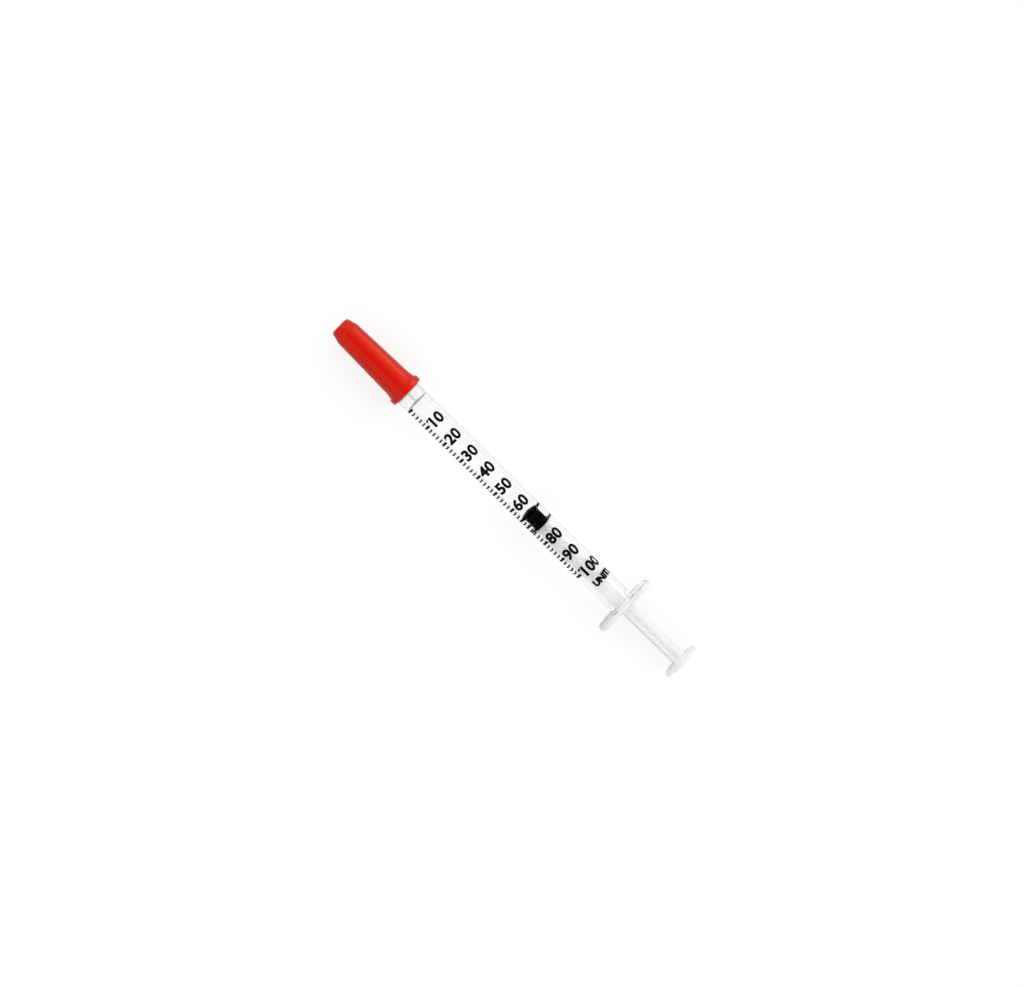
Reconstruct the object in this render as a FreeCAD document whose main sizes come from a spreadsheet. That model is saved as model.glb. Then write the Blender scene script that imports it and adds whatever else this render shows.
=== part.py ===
import FreeCAD, Part
import math
import os
import re

import Sketcher

# One-millilitre insulin syringe with a fixed needle, lying on its side as it rests on a tray.
# The long axis runs along X: needle and shield towards -X, thumb press towards +X, +Z up.
# The origin is the bottom centre of the whole part, and every length is in millimetres.
# Each piece is drawn from a datum of its own, with x counted from its front end, and its
# placement then seats it on the common axis.

# Driving dimensions: one row each, as name and value.
SIZES = [
    # barrel: bore, wall and the stretches along its axis
    ("bore_dia", 4.70),
    ("barrel_wall", 0.95),
    ("scale_len", 57.64),        # first line to last line: 1000 cubic mm of bore
    ("scale_tail", 13.96),       # last line to the open end
    ("zero_gap", 0.80),          # deepest point of the bore to the first line
    ("floor_dish", 0.40),        # depth of the dished bore floor
    ("front_wall", 2.80),        # bore floor to the front shoulder
    ("shoulder_cut", 0.30),
    ("mouth_lead", 0.40),        # chamfer at the open end
    ("bead_height", 0.08),       # ring in the bore that keeps the stopper in
    ("bead_width", 0.80),
    ("bead_setback", 3.00),      # open end to the middle of the ring
    # finger flange
    ("flange_wing", 5.00),       # tube to the end of either wing
    ("flange_ledge", 0.90),      # tube to either long side
    ("flange_thick", 1.30),
    ("flange_corner", 3.30),
    ("flange_cut", 0.35),
    ("flange_root", 0.35),
    # nose: the spigot that carries the shield, and the ribbed hub that holds the needle
    ("spigot_dia", 5.80),
    ("spigot_len", 2.40),
    ("hub_base_dia", 4.10),
    ("hub_tip_dia", 3.20),
    ("hub_len", 4.85),
    ("nose_cut", 0.25),          # chamfer on the front edges of hub and spigot
    ("hub_rib_count", 6),
    ("hub_rib_width", 0.50),
    ("hub_rib_height", 0.28),
    ("hub_rib_setback", 0.60),   # ribs stop this far behind the hub's tip
    ("channel_dia", 0.50),
    ("well_mouth_dia", 1.70),
    ("well_floor_dia", 1.10),
    ("well_depth", 3.20),
    # needle and the adhesive that holds it
    ("needle_dia", 0.33),
    ("needle_bore", 0.18),
    ("needle_out", 12.70),       # length in front of the hub
    ("needle_hold", 5.00),       # length inside the hub
    ("bevel_len", 1.30),
    ("lancet_len", 0.73),
    ("lancet_turn", 50.0),       # degrees between the main bevel and each side bevel
    ("bond_dome", 0.22),
    # stopper
    ("stopper_len", 4.90),       # front rib's leading edge to the rear face
    ("stopper_nose", 0.40),      # cone in front of that edge
    ("stopper_gap", 0.02),       # rib to bore wall
    ("stopper_waist", 0.32),     # depth of the waist below the bore wall
    ("rib_front", 0.85),
    ("rib_rear", 0.60),
    ("rib_flank", 0.30),
    ("drawn_len", 37.70),        # first line to the stopper's front rib, as it is set
    # snap head of the rod and the pocket that it turns in
    ("head_dia", 2.70),
    ("head_len", 1.20),
    ("head_cut", 0.45),
    ("neck_dia", 1.60),
    ("neck_len", 1.20),
    ("snap_gap", 0.05),
    # plunger rod
    ("guide_gap", 0.05),         # guide disc to the ring in the bore
    ("guide_thick", 0.90),
    ("rod_len", 48.35),          # guide disc's front to the thumb press's outer face
    ("rod_span", 4.28),
    ("rod_rib", 1.10),
    ("rod_turn", 45.0),          # degrees from the flange's long side to a rib
    ("rod_root", 0.30),
    ("rod_edge", 0.12),
    ("press_dia", 10.30),
    ("press_thick", 1.00),
    ("press_rim", 0.62),
    ("press_cut", 0.30),
    ("press_boss_dia", 5.00),
    ("press_boss", 0.35),
    # needle shield
    ("shield_len", 23.05),
    ("shield_wall", 0.92),
    ("shield_end", 1.20),
    ("knob_tip_dia", 5.15),
    ("knob_base_dia", 5.80),
    ("knob_len", 1.70),
    ("knob_round", 0.50),
    ("neckdown_len", 0.90),      # slope between the knob and the long taper
    ("taper_front_dia", 6.50),
    ("taper_rear_dia", 7.45),
    ("flare_dia", 8.05),
    ("flare_len", 1.60),
    ("collar_dia", 8.90),
    ("collar_len", 1.60),
    ("collar_cut", 0.25),
    ("shield_fit", 0.025),       # socket to spigot, all round
    ("shield_seat", 0.05),       # mouth to the barrel's shoulder
    ("socket_lead", 0.25),
]

SIZE_NAMES = {name for name, value in SIZES}

# A round takes at most this share of the ledge or wall that it sits on.
ROUND_SHARE = 0.9

ALONG = FreeCAD.Vector(1, 0, 0)
NORMAL = FreeCAD.Vector(0, 0, 1)

# Formulas made from the sizes, used by more than one piece.
BORE_R = "(bore_dia / 2)"
BARREL_R = f"({BORE_R} + barrel_wall)"
SPIGOT_R = "(spigot_dia / 2)"
NEEDLE_R = "(needle_dia / 2)"
FLANGE_HALF_SPAN = f"({BARREL_R} + flange_wing)"
FLANGE_HALF_DEPTH = f"({BARREL_R} + flange_ledge)"
NOSE_LEN = "(hub_len + spigot_len)"
BORE_FLOOR = f"({NOSE_LEN} + front_wall)"
OPEN_END = f"({BORE_FLOOR} + zero_gap + scale_len + scale_tail)"
STOPPER_BACK = "(stopper_nose + stopper_len)"
WAIST_R = f"({BORE_R} - stopper_waist)"
HEAD_R = "(head_dia / 2)"
NECK_R = "(neck_dia / 2)"
PRESS_BACK = "(head_len + neck_len + rod_len)"

# Where the datum of each piece lies, counted from the shield's closed end.
BARREL_AT = f"(shield_len + shield_seat - {NOSE_LEN})"
NEEDLE_AT = f"({BARREL_AT} - needle_out)"
STOPPER_AT = f"({BARREL_AT} + {BORE_FLOOR} + zero_gap + drawn_len - stopper_nose)"
ROD_AT = f"({STOPPER_AT} + {STOPPER_BACK} + snap_gap - head_len - neck_len)"
OVERALL = f"({ROD_AT} + {PRESS_BACK})"
AXIS_HEIGHT = f"max(max(press_dia; collar_dia) / 2; {FLANGE_HALF_DEPTH})"

doc = FreeCAD.newDocument("InsulinSyringe")
sheet = doc.addObject("Spreadsheet::Sheet", "Sizes")
for row, (name, value) in enumerate(SIZES, start=1):
    sheet.set(f"A{row}", name)
    sheet.set(f"B{row}", str(value))
    sheet.setAlias(f"B{row}", name)
doc.recompute()


def bound(formula):
    """Point every size name in a formula at its cell in the sheet."""
    def to_cell(match):
        word = match.group(0)
        return "Sizes." + word if word in SIZE_NAMES else word
    return re.sub(r"[a-z_]+", to_cell, formula)


def now(formula):
    """Value of a formula with the sizes as they stand."""
    return float(sheet.evalExpression(bound(formula)))


def new_body(name, along):
    """Start a piece whose datum lies on the common axis, so far behind the shield's tip."""
    body = doc.addObject("PartDesign::Body", name)
    body.Label = name
    body.setExpression("Placement.Base.x", bound(f"{along} - {OVERALL} / 2"))
    body.setExpression("Placement.Base.z", bound(AXIS_HEIGHT))
    return body


def new_sketch(body, name, plane, offset="0", turn="0", about=NORMAL):
    """Start a sketch on one of the body's own planes, moved along its normal and turned."""
    sketch = body.newObject("Sketcher::SketchObject", name)
    for feature in body.Origin.OriginFeatures:
        if feature.Role == plane:
            sketch.AttachmentSupport = [(feature, "")]
    sketch.MapMode = "FlatFace"
    sketch.AttachmentOffset = FreeCAD.Placement(
        FreeCAD.Vector(0, 0, now(offset)), FreeCAD.Rotation(about, now(turn)))
    sketch.setExpression("AttachmentOffset.Base.z", bound(offset))
    sketch.setExpression("AttachmentOffset.Rotation.Angle", bound(turn))
    return sketch


def dimension(sketch, kind, geometry, point, formula):
    """Place one point of a sketch, along or across, by a formula counted from the origin."""
    if formula == "0":
        axis = -2 if kind == "DistanceX" else -1
        sketch.addConstraint(Sketcher.Constraint("PointOnObject", geometry, point, axis))
        return
    value = now(formula)
    if value > 0:
        index = sketch.addConstraint(
            Sketcher.Constraint(kind, -1, 1, geometry, point, value))
        sketch.setExpression(f"Constraints[{index}]", bound(formula))
        return
    index = sketch.addConstraint(
        Sketcher.Constraint(kind, geometry, point, -1, 1, -value))
    sketch.setExpression(f"Constraints[{index}]", bound(f"-({formula})"))


def corner_arc(before, corner, after, radius):
    """Tangent arc that rounds a corner: its two ends, its circle and whether it turns left."""
    inward = (before - corner).normalize()
    outward = (after - corner).normalize()
    half = inward.getAngle(outward) / 2
    reach = radius / math.tan(half)
    start = corner + inward * reach
    end = corner + outward * reach
    middle = corner + (inward + outward).normalize() * (radius / math.sin(half))
    left = (corner - before).cross(after - corner).z > 0
    return start, end, Part.Circle(middle, NORMAL, radius), left


def draw_outline(sketch, corners):
    """Draw a closed outline through corners (along, out) or, rounded, (along, out, radius)."""
    count = len(corners)
    points = [FreeCAD.Vector(now(corner[0]), now(corner[1]), 0) for corner in corners]
    starts, ends, arcs = list(points), list(points), {}
    for index, corner in enumerate(corners):
        if len(corner) == 3:
            before, after = points[index - 1], points[(index + 1) % count]
            arcs[index] = corner_arc(before, points[index], after, now(corner[2]))
            ends[index], starts[index] = arcs[index][0], arcs[index][1]
    lines = []
    for index in range(count):
        segment = Part.LineSegment(starts[index], ends[(index + 1) % count])
        lines.append(sketch.addGeometry(segment, False))
    for index, corner in enumerate(corners):
        arriving, leaving = lines[index - 1], lines[index]
        if index not in arcs:
            sketch.addConstraint(Sketcher.Constraint("Coincident", arriving, 2, leaving, 1))
            dimension(sketch, "DistanceX", leaving, 1, corner[0])
            dimension(sketch, "DistanceY", leaving, 1, corner[1])
            continue
        start, end, circle, left = arcs[index]
        first, last = (start, end) if left else (end, start)
        from_angle = math.atan2(first.y - circle.Center.y, first.x - circle.Center.x)
        to_angle = math.atan2(last.y - circle.Center.y, last.x - circle.Center.x)
        arc = sketch.addGeometry(Part.ArcOfCircle(circle, from_angle, to_angle), False)
        point = sketch.addGeometry(Part.Point(points[index]), True)
        dimension(sketch, "DistanceX", point, 1, corner[0])
        dimension(sketch, "DistanceY", point, 1, corner[1])
        sketch.addConstraint(Sketcher.Constraint("PointOnObject", point, 1, arriving))
        sketch.addConstraint(Sketcher.Constraint("PointOnObject", point, 1, leaving))
        arc_start, arc_end = (1, 2) if left else (2, 1)
        sketch.addConstraint(Sketcher.Constraint("Tangent", arriving, 2, arc, arc_start))
        sketch.addConstraint(Sketcher.Constraint("Tangent", leaving, 1, arc, arc_end))
        radius = sketch.addConstraint(Sketcher.Constraint("Radius", arc, circle.Radius))
        sketch.setExpression(f"Constraints[{radius}]", bound(corner[2]))


def revolve(body, kind, name, corners):
    """Turn an outline about the long axis, as a Revolution that adds or a Groove that cuts."""
    sketch = new_sketch(body, name + "_outline", "XY_Plane")
    draw_outline(sketch, corners)
    turned = body.newObject("PartDesign::" + kind, name)
    turned.Profile = sketch
    turned.ReferenceAxis = (sketch, ["H_Axis"])
    turned.Angle = 360
    doc.recompute()
    return turned


def pad(body, name, sketch, length, centred=False):
    """Thicken a sketch into a solid, to one side of it or half to each side."""
    block = body.newObject("PartDesign::Pad", name)
    block.Profile = sketch
    block.setExpression("Length", bound(length))
    if centred:
        block.SideType = "Symmetric"
    doc.recompute()
    return block


def dress_edges(body, name, base, edges, size):
    """Chamfer the named edges of the feature before."""
    eased = body.newObject("PartDesign::Chamfer", name)
    eased.Base = (base, edges)
    eased.setExpression("Size", bound(size))
    doc.recompute()
    return eased


def edges_where(feature, wanted):
    """Names of a feature's edges that pass a test."""
    return [f"Edge{number}" for number, edge in enumerate(feature.Shape.Edges, start=1)
            if wanted(edge)]


def lies_at(edge, along):
    """Whether an edge lies in the plane across the axis at this x."""
    box = edge.BoundBox
    return abs(box.XMin - along) < 1e-4 and abs(box.XMax - along) < 1e-4


def is_ring(edge, radius):
    """Whether an edge is a circle of this radius about the long axis."""
    curve = edge.Curve
    return (isinstance(curve, Part.Circle) and abs(curve.Radius - radius) < 1e-4
            and math.hypot(curve.Center.y, curve.Center.z) < 1e-4)


def need_less(body, before, what):
    """Stop if a cut has taken nothing away."""
    if body.Shape.Volume > before * (1 - 1e-7):
        raise RuntimeError(what + " removed nothing")


def make_barrel():
    """Clear barrel: tube, shouldered nose with a ribbed hub, and finger flange in one moulding."""
    body = new_body("barrel", BARREL_AT)
    revolve(body, "Revolution", "tube", [
        ("0", "0"),
        ("0", "hub_tip_dia / 2 - nose_cut"),
        ("nose_cut", "hub_tip_dia / 2"),
        ("hub_len", "hub_base_dia / 2"),
        ("hub_len", f"{SPIGOT_R} - nose_cut"),
        ("hub_len + nose_cut", SPIGOT_R),
        (NOSE_LEN, SPIGOT_R),
        (NOSE_LEN, f"{BARREL_R} - shoulder_cut"),
        (f"{NOSE_LEN} + shoulder_cut", BARREL_R),
        (OPEN_END, BARREL_R),
        (OPEN_END, "0"),
    ])

    flange_front = f"{OPEN_END} - flange_thick"
    outline = new_sketch(body, "flange_outline", "YZ_Plane", offset=flange_front)
    corner = f"min(flange_corner; {ROUND_SHARE} * {FLANGE_HALF_DEPTH})"
    draw_outline(outline, [
        (f"-{FLANGE_HALF_SPAN}", f"-{FLANGE_HALF_DEPTH}", corner),
        (FLANGE_HALF_SPAN, f"-{FLANGE_HALF_DEPTH}", corner),
        (FLANGE_HALF_SPAN, FLANGE_HALF_DEPTH, corner),
        (f"-{FLANGE_HALF_SPAN}", FLANGE_HALF_DEPTH, corner),
    ])
    flange = pad(body, "flange", outline, "flange_thick")

    front_at, back_at, tube_r = now(flange_front), now(OPEN_END), now(BARREL_R)
    rim = edges_where(flange, lambda edge: (lies_at(edge, front_at) or lies_at(edge, back_at))
                      and not is_ring(edge, tube_r))
    eased = dress_edges(body, "flange_rim", flange, rim,
                        f"min(flange_cut; {ROUND_SHARE} * flange_thick / 2)")
    root = edges_where(eased, lambda edge: lies_at(edge, front_at) and is_ring(edge, tube_r))
    dress_edges(body, "flange_root_web", eased, root,
                f"min(flange_root; {ROUND_SHARE} * (flange_ledge - flange_cut))")

    rib = new_sketch(body, "hub_rib_outline", "XZ_Plane")
    tip_r, foot_r = "hub_tip_dia / 2", "hub_tip_dia / 4"
    buried_end = "hub_len + spigot_len / 2"
    draw_outline(rib, [
        ("hub_rib_setback", foot_r),
        ("hub_rib_setback", tip_r),
        ("hub_rib_setback + hub_rib_height", f"{tip_r} + hub_rib_height"),
        (buried_end, "hub_base_dia / 2 + hub_rib_height"),
        (buried_end, foot_r),
    ])
    first_rib = pad(body, "hub_rib", rib, "hub_rib_width", centred=True)
    ribs = body.newObject("PartDesign::PolarPattern", "hub_ribs")
    ribs.Originals = [first_rib]
    ribs.Axis = (rib, ["H_Axis"])
    ribs.Angle = 360
    ribs.setExpression("Occurrences", bound("hub_rib_count"))
    body.Tip = ribs
    doc.recompute()

    before = body.Shape.Volume
    lead_r = f"{BORE_R} + mouth_lead"
    bead_at = f"{OPEN_END} - bead_setback"
    revolve(body, "Groove", "bore", [
        (BORE_FLOOR, "0"),
        (f"{BORE_FLOOR} + floor_dish", BORE_R),
        (f"{bead_at} - bead_width / 2", BORE_R),
        (bead_at, f"{BORE_R} - bead_height"),
        (f"{bead_at} + bead_width / 2", BORE_R),
        (f"{OPEN_END} - mouth_lead", BORE_R),
        (OPEN_END, lead_r),
        (OPEN_END, "0"),
    ])
    need_less(body, before, "the bore")

    before = body.Shape.Volume
    revolve(body, "Groove", "needle_way", [
        ("0", "0"),
        ("0", "well_mouth_dia / 2"),
        ("well_depth", "well_floor_dia / 2"),
        ("well_depth", NEEDLE_R),
        ("needle_hold", NEEDLE_R),
        ("needle_hold", "channel_dia / 2"),
        (f"{BORE_FLOOR} + floor_dish", "channel_dia / 2"),
        (f"{BORE_FLOOR} + floor_dish", "0"),
    ])
    need_less(body, before, "the needle way")
    return body


def make_needle():
    """Steel tube with a point ground in three bevels, and its tail held in the hub."""
    body = new_body("needle", NEEDLE_AT)
    revolve(body, "Revolution", "needle_tube", [
        ("0", "needle_bore / 2"),
        ("0", NEEDLE_R),
        ("needle_out + needle_hold", NEEDLE_R),
        ("needle_out + needle_hold", "needle_bore / 2"),
    ])
    grinds = [("main_bevel", "bevel_len", "0"),
              ("left_bevel", "lancet_len", "lancet_turn"),
              ("right_bevel", "lancet_len", "-lancet_turn")]
    for name, length, roll in grinds:
        before = body.Shape.Volume
        outline = new_sketch(body, name + "_outline", "XZ_Plane", turn=roll, about=ALONG)
        toe = f"-{NEEDLE_R} * cos({roll})"
        draw_outline(outline, [
            ("0", toe),
            (length, NEEDLE_R),
            (length, "needle_dia"),
            (f"-{NEEDLE_R}", "needle_dia"),
            (f"-{NEEDLE_R}", toe),
        ])
        grind = body.newObject("PartDesign::Pocket", name)
        grind.Profile = outline
        grind.Type = "ThroughAll"
        grind.SideType = "Symmetric"
        doc.recompute()
        need_less(body, before, name)
    return body


def make_needle_bond():
    """Adhesive that fills the hub's well round the needle and domes a little out of it."""
    body = new_body("needle_bond", f"{BARREL_AT} - bond_dome")
    revolve(body, "Revolution", "bond", [
        ("0", NEEDLE_R),
        ("bond_dome", "well_mouth_dia / 2"),
        ("bond_dome + well_depth", "well_floor_dia / 2"),
        ("bond_dome + well_depth", NEEDLE_R),
    ])
    return body


def make_stopper():
    """Black rubber stopper: two sealing ribs, a low cone in front and a snap pocket behind."""
    body = new_body("stopper", STOPPER_AT)
    rib_r = f"({BORE_R} - stopper_gap)"
    front = "stopper_nose"
    rear_rib = f"({STOPPER_BACK} - rib_flank / 2 - rib_rear)"
    pocket_r = f"({HEAD_R} + snap_gap)"
    throat_r = f"({NECK_R} + snap_gap)"
    pocket_back = f"({STOPPER_BACK} - neck_len + 2 * snap_gap)"
    pocket_front = f"({STOPPER_BACK} - neck_len - head_len)"
    revolve(body, "Revolution", "stopper_body", [
        ("0", "0"),
        (front, WAIST_R),
        (f"{front} + rib_flank / 2", rib_r),
        (f"{front} + rib_front", rib_r),
        (f"{front} + rib_front + rib_flank", WAIST_R),
        (f"{rear_rib} - rib_flank", WAIST_R),
        (rear_rib, rib_r),
        (f"{rear_rib} + rib_rear", rib_r),
        (STOPPER_BACK, f"{rib_r} - rib_flank"),
        (STOPPER_BACK, "0"),
    ])
    before = body.Shape.Volume
    revolve(body, "Groove", "snap_pocket", [
        (pocket_front, "0"),
        (pocket_front, f"{pocket_r} - head_cut"),
        (f"{pocket_front} + head_cut", pocket_r),
        (pocket_back, pocket_r),
        (pocket_back, throat_r),
        (STOPPER_BACK, throat_r),
        (STOPPER_BACK, "0"),
    ])
    need_less(body, before, "the snap pocket")
    return body


def make_plunger_rod():
    """Rod moulded in one with its snap head, guide disc, cross-shaped shaft and thumb press."""
    body = new_body("plunger_rod", ROD_AT)
    guide_front = "(head_len + neck_len)"
    guide_back = f"({guide_front} + guide_thick)"
    guide_r = f"({BORE_R} - bead_height - guide_gap)"
    revolve(body, "Revolution", "head_and_guide", [
        ("0", "0"),
        ("0", f"{HEAD_R} - head_cut"),
        ("head_cut", HEAD_R),
        ("head_len", HEAD_R),
        ("head_len", NECK_R),
        (guide_front, NECK_R),
        (guide_front, f"{guide_r} - rod_edge"),
        (f"{guide_front} + rod_edge", guide_r),
        (guide_back, guide_r),
        (guide_back, "0"),
    ])

    press_front = f"({PRESS_BACK} - press_thick)"
    cross = new_sketch(body, "cross_outline", "YZ_Plane", offset=guide_back, turn="rod_turn")
    tip, side = "rod_span / 2", "rod_rib / 2"
    quarter = [(tip, side, "rod_edge"), (side, side, "rod_root"), (side, tip, "rod_edge")]
    outline = list(quarter)
    outline += [(f"-({out})", along, round_off) for along, out, round_off in quarter]
    outline += [(f"-({along})", f"-({out})", round_off) for along, out, round_off in quarter]
    outline += [(out, f"-({along})", round_off) for along, out, round_off in quarter]
    draw_outline(cross, outline)
    pad(body, "cross_shaft", cross, f"{press_front} - {guide_back}")

    press_r, boss_r = "press_dia / 2", "press_boss_dia / 2"
    revolve(body, "Revolution", "thumb_press", [
        (f"{press_front} - press_boss", "0"),
        (f"{press_front} - press_boss", "rod_rib / 2"),
        (press_front, boss_r),
        (f"{PRESS_BACK} - press_rim", press_r),
        (f"{PRESS_BACK} - press_cut", press_r),
        (PRESS_BACK, f"{press_r} - press_cut"),
        (PRESS_BACK, "0"),
    ])
    return body


def make_needle_shield():
    """Coloured shield: knob, long taper, flare and collar, with a socket that grips the spigot."""
    body = new_body("needle_shield", "0")
    taper_front = "(knob_len + neckdown_len)"
    collar_front = "(shield_len - collar_len)"
    flare_front = f"({collar_front} - flare_len)"
    outer = {
        "knob_tip": "knob_tip_dia / 2",
        "knob_base": "knob_base_dia / 2",
        "taper_front": "taper_front_dia / 2",
        "taper_rear": "taper_rear_dia / 2",
        "flare": "flare_dia / 2",
        "collar": "collar_dia / 2",
    }
    revolve(body, "Revolution", "shield_outside", [
        ("0", "0"),
        ("0", outer["knob_tip"], "knob_round"),
        ("knob_len", outer["knob_base"]),
        (taper_front, outer["taper_front"]),
        (flare_front, outer["taper_rear"]),
        (collar_front, outer["flare"]),
        (collar_front, f"{outer['collar']} - collar_cut"),
        (f"{collar_front} + collar_cut", outer["collar"]),
        ("shield_len - collar_cut", outer["collar"]),
        ("shield_len", f"{outer['collar']} - collar_cut"),
        ("shield_len", "0"),
    ])
    before = body.Shape.Volume
    socket_r = f"({SPIGOT_R} + shield_fit)"
    socket_front = "(shield_len - spigot_len - shield_seat)"
    revolve(body, "Groove", "shield_inside", [
        ("shield_end", "0"),
        ("shield_end", f"{outer['knob_tip']} - shield_wall - knob_round"),
        ("shield_end + knob_round", f"{outer['knob_tip']} - shield_wall"),
        ("knob_len", f"{outer['knob_base']} - shield_wall"),
        (taper_front, f"{outer['taper_front']} - shield_wall"),
        (socket_front, f"{outer['taper_rear']} - shield_wall"),
        (f"{socket_front} + socket_lead", socket_r),
        ("shield_len - socket_lead", socket_r),
        ("shield_len", f"{socket_r} + socket_lead"),
        ("shield_len", "0"),
    ])
    need_less(body, before, "the inside of the shield")
    return body


pieces = [make_barrel(), make_needle(), make_needle_bond(), make_stopper(),
          make_plunger_rod(), make_needle_shield()]
doc.recompute()

for item in doc.Objects:
    if "Invalid" in item.State or "Error" in item.State:
        raise RuntimeError(item.Name + " failed: " + str(item.State))

os.makedirs("parts", exist_ok=True)
for piece in pieces:
    shape = piece.Shape
    if shape.isNull() or not shape.isValid():
        raise RuntimeError(piece.Label + " has no valid shape")
    shape.exportStep(f"parts/{piece.Label}.step")
    box = shape.BoundBox
    print(f"{piece.Label}: {len(shape.Solids)} solid, {shape.Volume:.3f} cubic mm, "
          f"x {box.XMin:.2f} to {box.XMax:.2f}, z {box.ZMin:.2f} to {box.ZMax:.2f}")
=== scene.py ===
"""Looks of an insulin syringe that lies on its side, drawn part of the way.

Each sub-assembly is a class with its sizes and the methods that model it. The syringe's
common axis runs along X, with the needle shield at -X and the thumb press at +X.
"""

from __future__ import annotations

import logging
import math
from collections.abc import Callable
from dataclasses import dataclass, field, replace
from enum import Enum

import bpy
from mathutils import Matrix, Vector


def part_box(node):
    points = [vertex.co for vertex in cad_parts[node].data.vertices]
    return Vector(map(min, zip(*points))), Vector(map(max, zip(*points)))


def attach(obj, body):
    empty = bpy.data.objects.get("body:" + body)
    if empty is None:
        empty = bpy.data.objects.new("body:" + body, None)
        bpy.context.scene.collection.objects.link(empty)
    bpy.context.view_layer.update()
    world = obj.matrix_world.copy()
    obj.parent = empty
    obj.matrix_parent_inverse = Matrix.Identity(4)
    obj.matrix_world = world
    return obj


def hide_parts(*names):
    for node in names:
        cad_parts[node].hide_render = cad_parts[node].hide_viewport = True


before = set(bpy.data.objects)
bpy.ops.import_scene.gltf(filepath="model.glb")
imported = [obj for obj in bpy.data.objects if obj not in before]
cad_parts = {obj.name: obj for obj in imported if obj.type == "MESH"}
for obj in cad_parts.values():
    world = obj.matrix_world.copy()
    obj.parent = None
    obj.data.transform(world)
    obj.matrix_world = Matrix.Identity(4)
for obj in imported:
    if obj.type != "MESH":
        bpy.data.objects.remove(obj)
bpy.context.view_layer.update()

LOG = logging.getLogger("syringe")
MM = 0.001
SEGMENTS = 128
FULL_TURN = 2 * math.pi
ARC_STEP = math.radians(14)
SMOOTH_BELOW = math.radians(32)
SAME_PLACE = 0.01 * MM
MERGE_BELOW = 0.0005 * MM
SQUARE_ON = 0.9
NOISE_MIDDLE = 0.5
# A place that no two parts of a turned piece are equally far from
SORT_FROM = (0.31, 0.127, 0.0713)

Corner = tuple[float, ...]
Point = tuple[float, float]
Triple = tuple[float, float, float]
Colour = Triple


class Role(Enum):
    """How a Boolean modifier joins two solids."""

    JOIN = "UNION"
    CUT = "DIFFERENCE"


class Weight(Enum):
    """Which of the scale's lines a tick is."""

    MAJOR = "major"
    MINOR = "minor"


@dataclass(frozen=True)
class Axis:
    """The syringe's common axis and the places on it that the frame gives."""

    height: float
    nose_tip: float
    open_end: float
    stopper_front: float
    stopper_back: float
    rod_front: float
    press_face: float
    shield_tip: float
    shield_mouth: float

    @classmethod
    def of_frame(cls) -> Axis:
        """Read the places from the CAD nodes.

        Returns:
            Axis: the places, in metres.
        """
        barrel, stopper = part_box("barrel"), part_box("stopper")
        rod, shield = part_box("plunger_rod"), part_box("needle_shield")
        return cls(
            height=(rod[0].z + rod[1].z) / 2,
            nose_tip=barrel[0].x, open_end=barrel[1].x,
            stopper_front=stopper[0].x, stopper_back=stopper[1].x,
            rod_front=rod[0].x, press_face=rod[1].x,
            shield_tip=shield[0].x, shield_mouth=shield[1].x)

    def away(self, point: Vector) -> float:
        """How far a point is from the axis."""
        return math.hypot(point.y, point.z - self.height)


# Modelling by hand


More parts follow.
